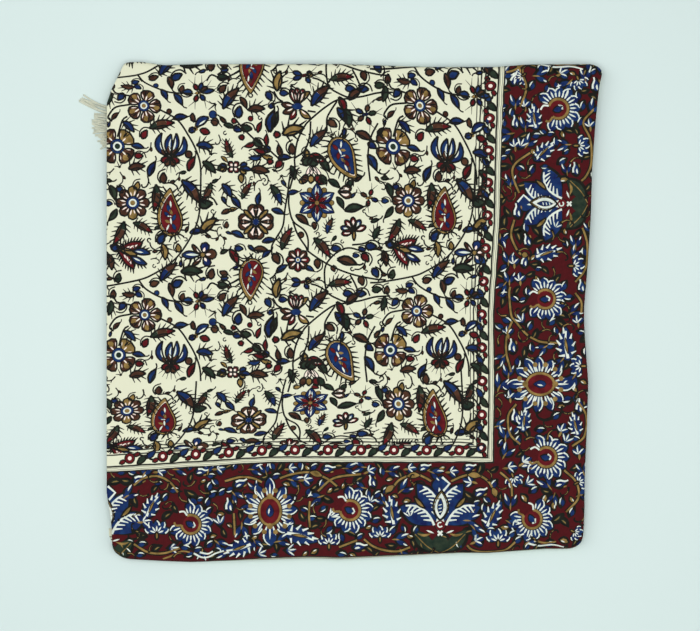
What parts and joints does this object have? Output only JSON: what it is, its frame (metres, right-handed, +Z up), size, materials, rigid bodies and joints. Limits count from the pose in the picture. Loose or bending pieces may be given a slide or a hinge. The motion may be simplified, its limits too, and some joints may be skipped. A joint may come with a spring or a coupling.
{
  "type": "folded block-printed cotton cloth",
  "caption": "Fringed cotton tablecloth with hand-block-printed flowers and a dark red border, folded in three both ways into a flat square package.",
  "frame": {"origin": "middle of the package's bounding box, fringe included, on the surface that it lies on", "axes": "+X to the right of the printed face, along the border at the front edge; +Y away from the front edge, along the border at the right edge; +Z up from the surface through the printed face"},
  "size_m": [0.5254, 0.5012, 0.0166],
  "materials": {
    "printed_cotton": "matt plain-weave cotton, block-printed in black, madder red, indigo, ochre, brown and green",
    "cotton_yarn": "matt undyed cotton yarn"
  },
  "bodies": {
    "root": {"cloth": "printed_cotton", "fringe": "cotton_yarn"}
  },
  "joints": []
}
